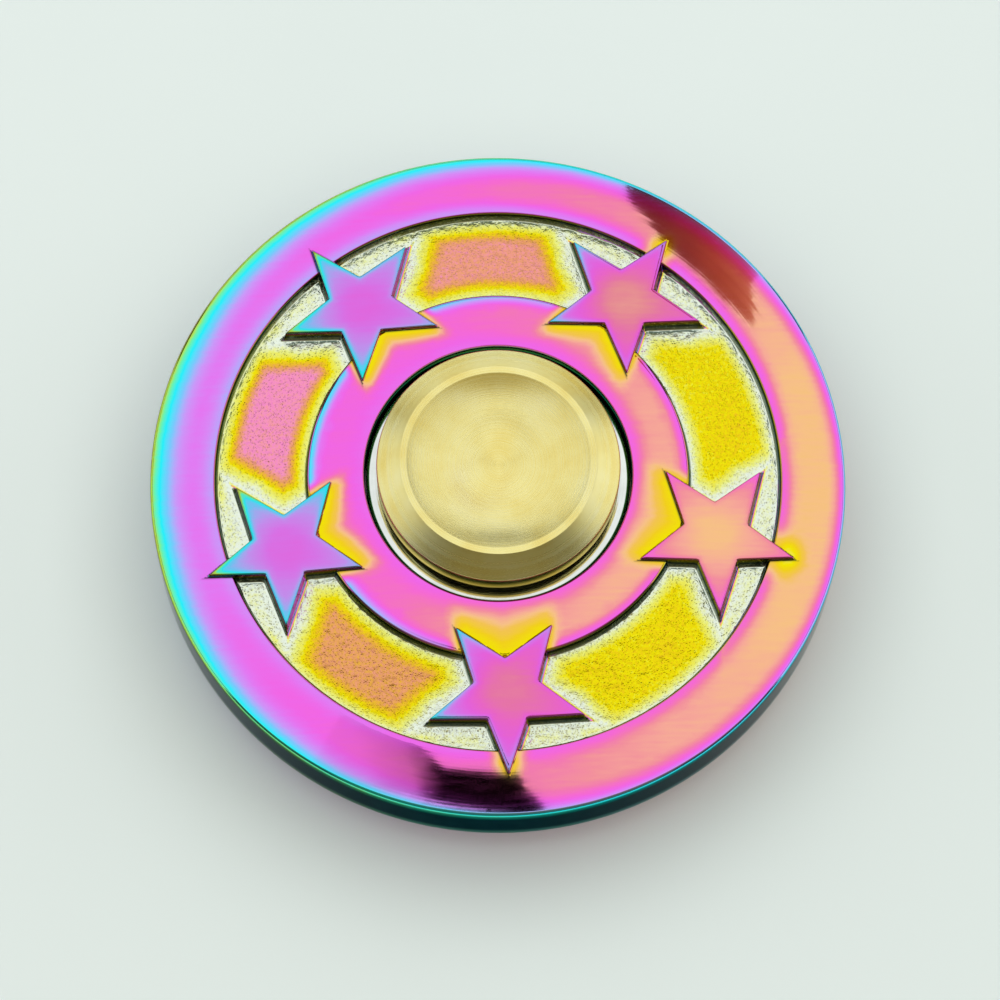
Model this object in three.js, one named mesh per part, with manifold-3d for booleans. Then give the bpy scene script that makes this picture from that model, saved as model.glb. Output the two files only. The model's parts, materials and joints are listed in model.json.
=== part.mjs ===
// A round fidget spinner: a domed, die-cast disc with five raised stars on each face, pressed onto a
// shielded ball bearing whose inner ring is clamped between two turned brass finger caps.
// Millimetres. +Z is the spin axis, and the origin is the middle of the bearing.

import * as THREE from "three";
import { mergeVertices } from "three/addons/utils/BufferGeometryUtils.js";
import Module from "manifold-3d";

const wasm = await Module();
wasm.setup();

// ---- driving dimensions ----

const STAR_COUNT = 5;
const BALL_COUNT = 7;

const disc = {
  radius: 29,
  hubHalfThickness: 4.7,
  slope: 0.1, // fall of each face per millimetre of radius
  boreRadius: 11.1,
  boreChamfer: 0.2,
  hubRadius: 15.75,
  rimInnerRadius: 23.7,
  grooveDepth: 1.05,
  wallDraft: 0.15, // sideways lean of a cast wall per millimetre of height
  wallEdge: 0.25, // break of the edge at the top of a cast wall
  edgeRound: 0.8,
};

const star = {
  centreRadius: 18.8,
  tipRadius: 7.1,
  notchRadius: 2.7,
  relief: 0.35,
};

// A 608 bearing: 8 x 22 x 7.
const bearing = {
  boreRadius: 4,
  outerRadius: 11,
  halfWidth: 3.5,
  pitchRadius: 7.5,
  ballRadius: 3.969 / 2,
  grooveClearance: 0.06,
  innerShoulder: 6.05,
  outerShoulder: 8.95,
  chamfer: 0.3,
  shieldSeat: { radius: 9.55, z: 2.35 },
  snapGroove: { radius: 9.8, low: 2.68, high: 3.1 },
  mouthRadius: 9.6,
};

const shield = {
  innerRadius: 6.3,
  plateRadius: 8.55,
  flangeInner: 8.85,
  flangeRadius: 9.45,
  flangeLow: 2.4,
  plateLow: 2.98,
  thickness: 0.22,
};

const snapRing = { inner: 9.05, outer: 9.68, low: 2.74, thickness: 0.3, opening: 0.3 };

const cage = {
  inner: 6.45,
  outer: 8.6,
  sheet: 0.3,
  halfGap: 0.03,
  pocketClearance: 0.11,
  rivetHole: 0.45,
};

const rivet = { shank: 0.38, head: 0.62, headHeight: 0.26, seat: 0.04 };

const cap = {
  radius: 10.1,
  underside: 4.65,
  undersideChamfer: 0.25,
  shoulder: 6.68,
  shoulderRound: 0.3,
  top: 7.95,
  landOuter: 8.18,
  landInner: 7.65,
  landEdge: 0.08,
  dishDepth: 1.4,
  bossRadius: 5.85,
  seatGap: 0.05,
  spigotRadius: 3.93,
};

const thread = {
  studRadius: 2.45,
  socketRadius: 2.55,
  studTip: -2.2,
  socketEnd: 2.6,
  spigotEnd: -2.7,
  registerEnd: 2.9,
  tipChamfer: 0.25,
};

const SEGMENTS = {
  disc: 60,
  race: 40,
  cap: 40,
  ball: 12,
  rivet: 8,
  edgeRound: 2,
  ballGroove: 5,
  pocketHalf: 5,
  fingerPad: 4,
};

// ---- finishes ----

const finish = (color, roughness) => () =>
  new THREE.MeshStandardMaterial({ color, roughness, metalness: 1 });

const rainbowPlating = finish(0xe26fd2, 0.16);
const bearingSteel = finish(0xc9cdd0, 0.22);
const pressedSteel = finish(0xa9adb0, 0.35);
const springSteel = finish(0x74787c, 0.4);
const turnedBrass = finish(0xd3bf6c, 0.34);

// ---- solids ----

// A three.js geometry as a solid that can be joined and cut.
function solidOf(geometry) {
  const bare = geometry.clone();
  bare.deleteAttribute("normal");
  bare.deleteAttribute("uv");
  const merged = mergeVertices(bare, 1e-4);
  const index = merged.index.array;
  const triangles = [];
  for (let i = 0; i < index.length; i += 3) {
    const [a, b, c] = index.slice(i, i + 3);
    if (a !== b && b !== c && c !== a) triangles.push(a, b, c);
  }
  return new wasm.Manifold(
    new wasm.Mesh({
      numProp: 3,
      vertProperties: merged.attributes.position.array,
      triVerts: new Uint32Array(triangles),
    }),
  );
}

function geometryOf(solid) {
  const mesh = solid.getMesh();
  return new THREE.BufferGeometry()
    .setAttribute("position", new THREE.BufferAttribute(mesh.vertProperties, 3))
    .setIndex(new THREE.BufferAttribute(mesh.triVerts, 1));
}

// An outline of [radius, height] points turned round Z. It runs up its outer side and down its inner side.
function turned(outline, segments) {
  const points = outline.map(([r, z]) => new THREE.Vector2(r, z));
  return new THREE.LatheGeometry(points, segments).rotateX(Math.PI / 2);
}

const closed = (outline) => [...outline, outline[0]];

// Points on an arc in the [radius, height] plane, angles in radians from the outward direction.
function arc([r, z], radius, from, to, steps) {
  return Array.from({ length: steps + 1 }, (_, i) => {
    const a = from + ((to - from) * i) / steps;
    return [r + radius * Math.cos(a), z + radius * Math.sin(a)];
  });
}

const mirrored = (outline) => outline.map(([r, z]) => [r, -z]).reverse();

// ---- the disc ----

const faceHeight = (r) => disc.hubHalfThickness - disc.slope * (r - disc.boreRadius);

// One cast wall between a top edge and the groove floor; towards is +1 when the floor lies outwards.
function grooveWall(edgeRadius, towards) {
  const depth = disc.grooveDepth;
  const footRadius = edgeRadius + towards * (disc.wallEdge + disc.wallDraft * depth);
  return [
    [edgeRadius, faceHeight(edgeRadius)],
    [edgeRadius + towards * disc.wallEdge, faceHeight(edgeRadius) - disc.wallEdge],
    [footRadius, faceHeight(footRadius) - depth],
  ];
}

function discOutlineAbove() {
  const { radius, boreRadius, boreChamfer, edgeRound } = disc;
  const shoulder = radius - edgeRound;
  const edgeCentre = [shoulder, faceHeight(shoulder) - edgeRound];
  const edge = arc(edgeCentre, edgeRound, 0, Math.PI / 2, SEGMENTS.edgeRound);
  return [
    ...edge,
    ...grooveWall(disc.rimInnerRadius, -1),
    ...grooveWall(disc.hubRadius, 1).reverse(),
    [boreRadius + boreChamfer, faceHeight(boreRadius + boreChamfer)],
    [boreRadius, faceHeight(boreRadius) - boreChamfer],
  ];
}

// The star's ten corners, its first point away from the spin axis.
function starShape() {
  const corners = Array.from({ length: 10 }, (_, i) => {
    const r = i % 2 ? star.notchRadius : star.tipRadius;
    const a = (i * Math.PI) / 5;
    return new THREE.Vector2(r * Math.cos(a), r * Math.sin(a));
  });
  return new THREE.Shape(corners);
}

// A star pillar through the whole disc, widest at the middle plane as a casting's draft leaves it.
function starPillar() {
  const half = disc.hubHalfThickness + 1;
  const apothem = star.tipRadius * Math.cos((2 * Math.PI) / 5);
  const topPlane = faceHeight(star.centreRadius) + star.relief;
  const pillar = new THREE.ExtrudeGeometry(starShape(), {
    depth: 2 * half,
    steps: 2,
    bevelEnabled: false,
  }).translate(0, 0, -half);
  const position = pillar.attributes.position;
  for (let i = 0; i < position.count; i++) {
    const widen = 1 + (disc.wallDraft * (topPlane - Math.abs(position.getZ(i)))) / apothem;
    position.setXY(i, position.getX(i) * widen, position.getY(i) * widen);
  }
  return pillar.translate(star.centreRadius, 0, 0);
}

// The layer that the stars are cut from: it follows both faces at the height of the relief.
function starLayer() {
  const inner = star.centreRadius - star.tipRadius;
  const outer = star.centreRadius + star.tipRadius + 1;
  const above = [outer, inner].map((r) => [r, faceHeight(r) + star.relief]);
  return solidOf(turned(closed([...mirrored(above), ...above]), SEGMENTS.disc));
}

function discBody() {
  const above = discOutlineAbove();
  const plain = solidOf(turned(closed([...mirrored(above), ...above]), SEGMENTS.disc));
  const layer = starLayer();
  let body = plain;
  for (let i = 0; i < STAR_COUNT; i++) {
    const angle = (2 * Math.PI * i) / STAR_COUNT - Math.PI / 2;
    const pillar = solidOf(starPillar().rotateZ(angle));
    body = body.add(pillar.intersect(layer));
  }
  return geometryOf(body);
}

// ---- the bearing ----

const grooveRadius = bearing.ballRadius + bearing.grooveClearance;

function outerRace() {
  const { outerRadius, halfWidth, chamfer, mouthRadius, shieldSeat, snapGroove } = bearing;
  const reach = Math.acos((bearing.outerShoulder - bearing.pitchRadius) / grooveRadius);
  const above = [
    [outerRadius, halfWidth - chamfer],
    [outerRadius - chamfer, halfWidth],
    [mouthRadius, halfWidth],
    [mouthRadius, snapGroove.high],
    [snapGroove.radius, snapGroove.high],
    [snapGroove.radius, snapGroove.low],
    [shieldSeat.radius, snapGroove.low],
    [shieldSeat.radius, shieldSeat.z],
    [bearing.outerShoulder, shieldSeat.z],
  ];
  const ballGroove = arc([bearing.pitchRadius, 0], grooveRadius, reach, -reach, SEGMENTS.ballGroove);
  return turned(closed([...above, ...ballGroove, ...mirrored(above)]), SEGMENTS.race);
}

function innerRace() {
  const { boreRadius, halfWidth, chamfer, innerShoulder, pitchRadius } = bearing;
  const reach = Math.acos((pitchRadius - innerShoulder) / grooveRadius);
  const above = [
    [innerShoulder, halfWidth - chamfer],
    [innerShoulder - chamfer, halfWidth],
    [boreRadius + chamfer, halfWidth],
    [boreRadius, halfWidth - chamfer],
  ];
  const from = Math.PI + reach;
  const ballGroove = arc([pitchRadius, 0], grooveRadius, from, Math.PI - reach, SEGMENTS.ballGroove);
  return turned(closed([...ballGroove, ...above, ...mirrored(above)]), SEGMENTS.race);
}

const ballAngle = (i) => (2 * Math.PI * i) / BALL_COUNT;
const rivetAngle = (i) => (2 * Math.PI * (i + 0.5)) / BALL_COUNT;

// Angle round the ring and height of a sheet face, over one ball pocket and up to the next web.
function pocketLine(radius, webHeight) {
  const steps = SEGMENTS.pocketHalf;
  const reach = Math.acos(webHeight / radius);
  return Array.from({ length: 2 * steps + 1 }, (_, i) => {
    const a = (reach * (i - steps)) / steps;
    return [(radius * Math.sin(a)) / bearing.pitchRadius, radius * Math.cos(a)];
  });
}

// One half of the ribbon cage: sheet pressed over every ball, flat where the rivets go.
function cageHalf() {
  const pocket = bearing.ballRadius + cage.pocketClearance;
  const under = pocketLine(pocket, cage.halfGap);
  const over = pocketLine(pocket + cage.sheet, cage.halfGap + cage.sheet);
  const sections = [];
  for (let ball = 0; ball < BALL_COUNT; ball++) {
    under.forEach(([underAngle, underZ], i) => {
      const [overAngle, overZ] = over[i];
      sections.push([
        [cage.inner, ballAngle(ball) + underAngle, underZ],
        [cage.outer, ballAngle(ball) + underAngle, underZ],
        [cage.outer, ballAngle(ball) + overAngle, overZ],
        [cage.inner, ballAngle(ball) + overAngle, overZ],
      ]);
    });
  }
  const corners = sections.flat().flatMap(([r, a, z]) => [r * Math.cos(a), r * Math.sin(a), z]);
  const index = [];
  for (let s = 0; s < sections.length; s++) {
    const here = 4 * s;
    const next = 4 * ((s + 1) % sections.length);
    for (let side = 0; side < 4; side++) {
      const other = (side + 1) % 4;
      index.push(here + side, next + side, next + other);
      index.push(here + side, next + other, here + other);
    }
  }
  const ribbon = new THREE.BufferGeometry()
    .setAttribute("position", new THREE.Float32BufferAttribute(corners, 3))
    .setIndex(index);
  let half = solidOf(ribbon);
  for (let i = 0; i < BALL_COUNT; i++) {
    const drill = new THREE.CylinderGeometry(cage.rivetHole, cage.rivetHole, 2, SEGMENTS.rivet)
      .rotateX(Math.PI / 2)
      .translate(bearing.pitchRadius, 0, 0)
      .rotateZ(rivetAngle(i));
    half = half.subtract(solidOf(drill));
  }
  return geometryOf(half);
}

function cageRivet() {
  const seat = cage.halfGap + cage.sheet + rivet.seat;
  const above = [
    [rivet.shank, seat],
    [rivet.head, seat],
    [rivet.head * 0.75, seat + rivet.headHeight * 0.75],
    [0, seat + rivet.headHeight],
  ];
  return turned([...mirrored(above), ...above], SEGMENTS.rivet);
}

function bearingShield() {
  const { innerRadius, plateRadius, flangeInner, flangeRadius, flangeLow, plateLow } = shield;
  const flangeTop = flangeLow + shield.thickness;
  const plateTop = plateLow + shield.thickness;
  const outline = [
    [innerRadius, plateLow],
    [plateRadius - shield.thickness, plateLow],
    [flangeInner - shield.thickness, flangeLow],
    [flangeRadius, flangeLow],
    [flangeRadius, flangeTop],
    [flangeInner, flangeTop],
    [plateRadius, plateTop],
    [innerRadius, plateTop],
  ];
  return turned(closed(outline), SEGMENTS.race);
}

function snapRingShape() {
  const half = snapRing.opening / 2;
  const shape = new THREE.Shape();
  shape.absarc(0, 0, snapRing.outer, half, 2 * Math.PI - half, false);
  shape.absarc(0, 0, snapRing.inner, 2 * Math.PI - half, half, true);
  return new THREE.ExtrudeGeometry(shape, {
    depth: snapRing.thickness,
    curveSegments: SEGMENTS.race,
    bevelEnabled: false,
  }).translate(0, 0, snapRing.low);
}

// ---- the finger caps ----

// From the seat on the inner ring, round the grip edge, to the middle of the hollow finger pad.
function capOutline() {
  const { radius, underside, undersideChamfer, shoulder, shoulderRound, top } = cap;
  const padRadius = (cap.landInner ** 2 + cap.dishDepth ** 2) / (2 * cap.dishDepth);
  const padReach = Math.asin(cap.landInner / padRadius);
  const padCentre = [0, top - cap.dishDepth + padRadius];
  const down = -Math.PI / 2;
  const pad = arc(padCentre, padRadius, down + padReach, down, SEGMENTS.fingerPad);
  pad[SEGMENTS.fingerPad][0] = 0;
  return [
    [cap.spigotRadius, bearing.halfWidth + cap.seatGap],
    [cap.bossRadius, bearing.halfWidth + cap.seatGap],
    [cap.bossRadius, underside],
    [radius - undersideChamfer, underside],
    [radius, underside + undersideChamfer],
    [radius, shoulder],
    [radius - shoulderRound, shoulder + shoulderRound],
    [cap.landOuter + cap.landEdge, top - cap.landEdge],
    [cap.landOuter, top],
    ...pad,
  ];
}

function socketedCap() {
  const bore = [
    [0, thread.socketEnd],
    [thread.socketRadius, thread.socketEnd],
    [thread.socketRadius, thread.spigotEnd],
    [cap.spigotRadius, thread.spigotEnd],
  ];
  return turned([...bore, ...capOutline()], SEGMENTS.cap);
}

function studdedCap() {
  const stud = [
    [0, thread.studTip],
    [thread.studRadius - thread.tipChamfer, thread.studTip],
    [thread.studRadius, thread.studTip + thread.tipChamfer],
    [thread.studRadius, thread.registerEnd],
    [cap.spigotRadius, thread.registerEnd],
  ];
  return turned([...stud, ...capOutline()], SEGMENTS.cap);
}

// ---- assembly ----

const spinner = new THREE.Group();

function place(parent, name, geometry, material) {
  const mesh = new THREE.Mesh(geometry, material());
  mesh.name = name;
  parent.add(mesh);
  return mesh;
}

// The two faces of the spinner: what belongs to the lower one is turned over about X.
const upper = new THREE.Group();
const lower = new THREE.Group();
lower.rotation.x = Math.PI;

// Held still between finger and thumb.
place(upper, "finger_cap_top", socketedCap(), turnedBrass);
place(lower, "finger_cap_bottom", studdedCap(), turnedBrass);
place(spinner, "bearing_inner_race", innerRace(), bearingSteel);

// Spins with the disc.
place(spinner, "disc_body", discBody(), rainbowPlating);
place(spinner, "bearing_outer_race", outerRace(), bearingSteel);
for (const [side, group] of Object.entries({ top: upper, bottom: lower })) {
  place(group, `bearing_shield_${side}`, bearingShield(), pressedSteel);
  place(group, `snap_ring_${side}`, snapRingShape(), springSteel);
}

// Rolls between the rings.
const cageGroup = new THREE.Group();
place(cageGroup, "ball_cage_upper", cageHalf(), pressedSteel);
place(cageGroup, "ball_cage_lower", cageHalf(), pressedSteel).rotation.x = Math.PI;
for (let i = 0; i < BALL_COUNT; i++) {
  const ball = new THREE.SphereGeometry(bearing.ballRadius, SEGMENTS.ball, SEGMENTS.ball - 4);
  const at = new THREE.Vector3(bearing.pitchRadius, 0, 0);
  const upright = new THREE.Vector3(0, 0, 1);
  place(cageGroup, `bearing_ball_${i + 1}`, ball, bearingSteel)
    .position.copy(at).applyAxisAngle(upright, ballAngle(i));
  place(cageGroup, `cage_rivet_${i + 1}`, cageRivet(), pressedSteel)
    .position.copy(at).applyAxisAngle(upright, rivetAngle(i));
}

spinner.add(upper, lower, cageGroup);

export default spinner;
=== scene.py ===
import collections
import json
import math

import bmesh
import bpy
import numpy as np
from mathutils import Matrix, Vector, geometry, noise


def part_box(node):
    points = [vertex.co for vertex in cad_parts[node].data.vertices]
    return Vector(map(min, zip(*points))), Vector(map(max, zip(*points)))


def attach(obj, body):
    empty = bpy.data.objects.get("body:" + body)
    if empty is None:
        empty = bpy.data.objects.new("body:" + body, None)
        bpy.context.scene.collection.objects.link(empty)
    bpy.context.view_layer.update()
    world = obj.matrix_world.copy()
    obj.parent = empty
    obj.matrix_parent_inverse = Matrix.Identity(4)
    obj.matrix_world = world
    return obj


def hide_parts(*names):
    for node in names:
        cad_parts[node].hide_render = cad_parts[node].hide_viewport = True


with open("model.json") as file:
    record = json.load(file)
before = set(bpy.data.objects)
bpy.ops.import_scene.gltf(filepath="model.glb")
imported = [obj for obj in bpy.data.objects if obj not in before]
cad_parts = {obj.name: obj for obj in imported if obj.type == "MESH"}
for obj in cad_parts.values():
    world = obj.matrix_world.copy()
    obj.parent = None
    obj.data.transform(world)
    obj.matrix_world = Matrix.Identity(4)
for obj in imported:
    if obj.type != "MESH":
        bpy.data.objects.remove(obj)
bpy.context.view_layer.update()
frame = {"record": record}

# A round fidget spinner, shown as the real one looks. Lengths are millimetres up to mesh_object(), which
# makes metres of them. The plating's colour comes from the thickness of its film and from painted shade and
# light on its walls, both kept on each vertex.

MM = 0.001

# ---- sizes taken from the frame, in millimetres ----


def reach(node):
    """The greatest radius of a turned node about the spin axis."""
    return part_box(node)[1][0] / MM


def top_of(node):
    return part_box(node)[1][2] / MM


DISC_R = reach("disc_body")
RING_R = reach("bearing_outer_race")
RING_HALF = top_of("bearing_outer_race")
CAP_R = reach("finger_cap_top")
CAP_TOP = top_of("finger_cap_top")

# ---- sizes of the casting ----

HUB_HALF = 4.7
SLOPE = 0.1
CROWN_START = 24.0
RIM_CROWN = 0.1
BORE_R = RING_R + 0.1
HUB_R = 15.75
RIM_R = 23.7
GROOVE_DEPTH = 1.05
EDGE_ROUND = 0.32
BORE_ROUND = 0.22
WALL_LEAN = math.radians(8.5)
WALL_TOP_ROUND = 0.3
WALL_FOOT_ROUND = 0.18

STARS = 5
STAR_CENTRE_R = 18.8
STAR_TIP_R = 7.02
STAR_NOTCH_R = 2.9
STAR_RELIEF = 0.35
STAR_TOP_ROUND = 0.15
STAR_TIP_BLEND = 0.1
STAR_NOTCH_BLEND = 0.14
STAR_INSET = 0.25  # how far inside the nominal outline a star's edge starts to round
EDGE_INSET = 0.12  # the same for the groove's edges

SECTOR = 2 * math.pi / STARS
DEGREE = math.pi / 180


def face_height(r):
    """Height of the plain face: a cone that falls a little faster towards the rim's edge."""
    crown = RIM_CROWN * np.clip((r - CROWN_START) / (DISC_R - CROWN_START), 0, 1.2) ** 2
    return HUB_HALF - SLOPE * (r - BORE_R) - crown


def smooth_max(a, b, k):
    h = np.maximum(k - np.abs(a - b), 0) / k
    return np.maximum(a, b) + h * h * k / 4


def smooth_min(a, b, k):
    return -smooth_max(-a, -b, k)


def smoothstep(low, high, x):
    t = np.clip((x - low) / (high - low), 0, 1)
    return t * t * (3 - 2 * t)


# ---- meshes ----


def mesh_object(name, points, faces, floats=None):
    """A smooth-shaded object from points in millimetres, with named float attributes on its vertices."""
    mesh = bpy.data.meshes.new(name)
    mesh.from_pydata((np.asarray(points) * MM).tolist(), [], [list(f) for f in faces])
    for key, values in (floats or {}).items():
        mesh.attributes.new(key, "FLOAT", "POINT").data.foreach_set("value", np.asarray(values, "f"))
    mesh.shade_smooth()
    mesh.validate()
    made = bpy.data.objects.new(name, mesh)
    bpy.context.scene.collection.objects.link(made)
    return made


def arc(centre, radius, start, end, steps):
    """Points [radius, height] on an arc, with angles in degrees from the outward direction."""
    angles = np.radians(np.linspace(start, end, steps + 1))
    return [[centre[0] + radius * math.cos(a), centre[1] + radius * math.sin(a)] for a in angles]


def lathe(outline, segments, closed=True):
    """Points and faces of an outline turned round Z; a point on the axis becomes one vertex."""
    points, rings = [], []
    for r, z in outline:
        if r < 1e-6:
            rings.append([len(points)] * segments)
            points.append((0, 0, z))
            continue
        rings.append(list(range(len(points), len(points) + segments)))
        turn = [2 * math.pi * i / segments for i in range(segments)]
        points += [(r * math.cos(a), r * math.sin(a), z) for a in turn]
    faces = []
    pairs = list(zip(rings, rings[1:] + rings[:1]))
    for low, high in pairs if closed else pairs[:-1]:
        for i in range(segments):
            j = (i + 1) % segments
            quad = list(dict.fromkeys([low[i], low[j], high[j], high[i]]))
            if len(quad) > 2:
                faces.append(quad)
    return points, faces


def turned(name, outline, segments=144, closed=True):
    points, faces = lathe(outline, segments, closed)
    return mesh_object(name, points, faces)


def mirrored(outline):
    return [[r, -z] for r, z in reversed(outline)]


# ---- the disc: a height field over one fifth of a face ----


def wall_profile(top_round, foot_round, depth):
    """(offset, drop) pairs down a cast wall: rounded edge, leaning wall, rounded foot."""
    lean = math.pi / 2 - WALL_LEAN
    angles = np.linspace(0, lean, 6)
    line = [(top_round * math.sin(a), top_round * (1 - math.cos(a))) for a in angles]
    foot = [(foot_round * math.sin(a), foot_round * (1 - math.cos(a))) for a in angles[::-1]]
    straight = depth - line[-1][1] - foot[0][1]
    end = line[-1][0] + straight * math.tan(WALL_LEAN) + foot[0][0]
    return np.array(line + [(end - u, depth - d) for u, d in foot])


GROOVE_WALL = wall_profile(WALL_TOP_ROUND, WALL_FOOT_ROUND, GROOVE_DEPTH)
STAR_WALL = wall_profile(STAR_TOP_ROUND, 0.01, 3.0)


def star_offset(x, y):
    """Offset from the star's outline in the sector's frame, negative inside, with softened corners."""
    px, py = x - STAR_CENTRE_R, y
    rad = np.hypot(px, py)
    half = SECTOR / 2
    fold = np.abs((np.arctan2(py, px) + half) % SECTOR - half)
    notch = np.array([STAR_NOTCH_R * math.cos(half), STAR_NOTCH_R * math.sin(half)])
    normal = np.array([notch[1], STAR_TIP_R - notch[0]])
    normal /= np.hypot(*normal)

    def edge(angle):
        return normal[0] * (rad * np.cos(angle) - STAR_TIP_R) + normal[1] * rad * np.sin(angle)

    tip = smooth_max(edge(fold), edge(-fold), STAR_TIP_BLEND)
    return smooth_min(tip, edge(SECTOR - fold), STAR_NOTCH_BLEND)


def groove_offset(r):
    """How far into the groove a radius lies, from where its nearer edge starts to round."""
    return np.minimum(r - HUB_R, RIM_R - r) + EDGE_INSET


def surface(x, y):
    """Height of the face, before its stipple."""
    r = np.hypot(x, y)
    base = face_height(r) - np.interp(groove_offset(r), *GROOVE_WALL.T)
    star = face_height(r) + STAR_RELIEF - np.interp(star_offset(x, y) + STAR_INSET, *STAR_WALL.T)
    return smooth_max(base, star, 0.08)


def star_contour(offset):
    """The closed line on which star_offset() has one value."""
    half = SECTOR / 2
    along = np.array([0, 0.012, 0.03, 0.06, 0.12, 0.22, 0.36, 0.5, 0.64, 0.78, 0.88, 0.95])
    notch = STAR_NOTCH_R * np.exp(1j * half)
    edge = np.angle(STAR_TIP_R + along * (notch - STAR_TIP_R))
    first = np.concatenate([edge, [half], SECTOR - edge[:0:-1]])
    angles = np.concatenate([first + i * SECTOR for i in range(STARS)])
    low, high = np.full_like(angles, 0.3), np.full_like(angles, 10.0)
    for _ in range(40):
        middle = (low + high) / 2
        inside = star_offset(STAR_CENTRE_R + middle * np.cos(angles), middle * np.sin(angles)) < offset
        low, high = np.where(inside, middle, low), np.where(inside, high, middle)
    return np.stack([STAR_CENTRE_R + low * np.cos(angles), low * np.sin(angles)], -1)


FLOOR_STEP = 0.205
PLAIN_STEP = 0.55
SHEET_INNER = BORE_R + BORE_ROUND
SHEET_OUTER = DISC_R - EDGE_ROUND


def fill_points(rng):
    """Loose points between the contours: close together on the stippled floor, wider elsewhere."""
    half = SECTOR / 2
    chosen = []
    for step, on_floor in ((FLOOR_STEP, True), (PLAIN_STEP, False)):
        xs = np.arange(SHEET_INNER * math.cos(half), SHEET_OUTER, step)
        ys = np.arange(-SHEET_OUTER * math.sin(half), SHEET_OUTER * math.sin(half), step * 0.866)
        x, y = np.meshgrid(xs, ys)
        x = x + np.where(np.arange(len(ys)) % 2, step / 2, 0)[:, None]
        x, y = (v + rng.uniform(-0.22, 0.22, x.shape) * step for v in (x, y))
        x, y = x.ravel(), y.ravel()
        r, angle = np.hypot(x, y), np.arctan2(y, x)
        star = star_offset(x, y)
        groove = groove_offset(r)
        floor = (star > 0.36) & (groove > GROOVE_WALL[-1][0] + 0.06)
        plain = (groove < -0.2) & (np.abs(star) > 0.36) | (star < -0.36)
        margin = 0.45 * step
        keep = floor if on_floor else plain
        keep &= (np.abs(angle) < half - margin / r) & (r > SHEET_INNER + margin) & (r < SHEET_OUTER - margin)
        chosen.append(np.stack([x, y], -1)[keep])
    return np.concatenate(chosen)


def sector_sheet():
    """Plan of one fifth of the face: points, and triangles between them."""
    half = SECTOR / 2
    around = np.radians(np.arange(-36, 37))
    hub = HUB_R - EDGE_INSET + GROOVE_WALL[:, 0]
    rim = RIM_R + EDGE_INSET - GROOVE_WALL[:, 0]
    plain = [SHEET_INNER, 11.6, 12.1, 15.0, 15.4, 24.1, 24.6, 27.0, 27.6, 28.1, 28.4, SHEET_OUTER]
    radii = np.sort(np.concatenate([hub, rim, plain]))
    points, edges = [], []

    def add_line(line, loop=False):
        start = len(points)
        points.extend(line.tolist())
        count = len(line)
        edges.extend((start + i, start + (i + 1) % count) for i in range(count if loop else count - 1))

    for r in radii:
        add_line(np.stack([r * np.cos(around), r * np.sin(around)], -1))
    floor_radii = np.arange(hub[-1] + 0.3, rim[-1] - 0.1, 0.25)
    side = np.sort(np.concatenate([radii, floor_radii, [13.0, 14.0, 25.4, 26.2]]))
    for angle in (-half, half):
        add_line(np.stack([side * math.cos(angle), side * math.sin(angle)], -1))
    rounding = STAR_WALL[:6, 0] - STAR_INSET
    for offset in [-1.0, -0.55, -0.36, *rounding, 0, 0.08, 0.17, 0.28]:
        add_line(star_contour(offset), loop=True)
    points.extend(fill_points(np.random.default_rng(5)).tolist())
    plan, _, triangles, *_ = geometry.delaunay_2d_cdt([Vector(p) for p in points], edges, [], 0, 0.01)
    plan = np.array([tuple(p) for p in plan])
    triangles = np.array(triangles)
    centre = plan[triangles].mean(1)
    r, angle = np.hypot(*centre.T), np.arctan2(centre[:, 1], centre[:, 0])
    inner = SHEET_INNER * math.cos(0.5 * DEGREE) / np.cos((angle / DEGREE) % 1 * DEGREE - 0.5 * DEGREE)
    return plan, triangles[(r > inner - 1e-3) & (np.abs(angle) < half)]


def weld(parts):
    """Points and faces of several pieces as one surface. Points in the same place become one, and where
    that folds two faces onto each other, both go."""
    points = np.concatenate([np.asarray(own, float) for own, _ in parts])
    faces, start = [], 0
    for own, own_faces in parts:
        faces += [[start + i for i in f] for f in own_faces]
        start += len(own)
    loose = bmesh.new()
    for p in points:
        loose.verts.new(p)
    loose.verts.index_update()
    goes = np.arange(len(points))
    for point, target in bmesh.ops.find_doubles(loose, verts=loose.verts, dist=0.004)["targetmap"].items():
        goes[point.index] = target.index
    loose.free()
    faces = [list(dict.fromkeys(goes[f].tolist())) for f in faces]
    shared = collections.Counter(frozenset(f) for f in faces)
    faces = [f for f in faces if len(f) > 2 and shared[frozenset(f)] == 1]
    used, numbers = np.unique(np.concatenate(faces), return_inverse=True)
    numbers = numbers.reshape(-1).tolist()
    ends = np.cumsum([len(f) for f in faces])
    return points[used], [numbers[end - len(f) : end] for f, end in zip(faces, ends)]


def disc_shell():
    """Both faces of the disc, its outer edge and its hole, as one closed surface."""
    plan, triangles = sector_sheet()
    height = surface(*plan.T)
    parts = []
    for i in range(STARS):
        placed = (plan[:, 0] + 1j * plan[:, 1]) * np.exp(1j * (i * SECTOR - math.pi / 2))
        for side, faces in ((1, triangles), (-1, triangles[:, ::-1])):
            parts.append((np.column_stack([placed.real, placed.imag, side * height]), faces))
    shoulder = face_height(SHEET_OUTER)
    edge = arc([SHEET_OUTER, shoulder - EDGE_ROUND], EDGE_ROUND, 90, 0, 6)
    rim = [*edge, [DISC_R, 1.5], [DISC_R, 0], [DISC_R, -1.5], *mirrored(edge)]
    lip = face_height(SHEET_INNER) - BORE_ROUND
    mouth = arc([SHEET_INNER, lip], BORE_ROUND, 180, 90, 4)
    hole = [*mirrored(mouth), [BORE_R, -2], [BORE_R, 0], [BORE_R, 2], *mouth]
    strips = [lathe(line, 360, closed=False) for line in (rim[::-1], hole[::-1])]
    return weld([*parts, *strips])


# ---- the plating: thickness of its film, from 0 (silver) to 1 (the thickest, olive), and its painted shade ----


def gaussian(x, width):
    return np.exp(-(x / width) ** 2)


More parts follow.
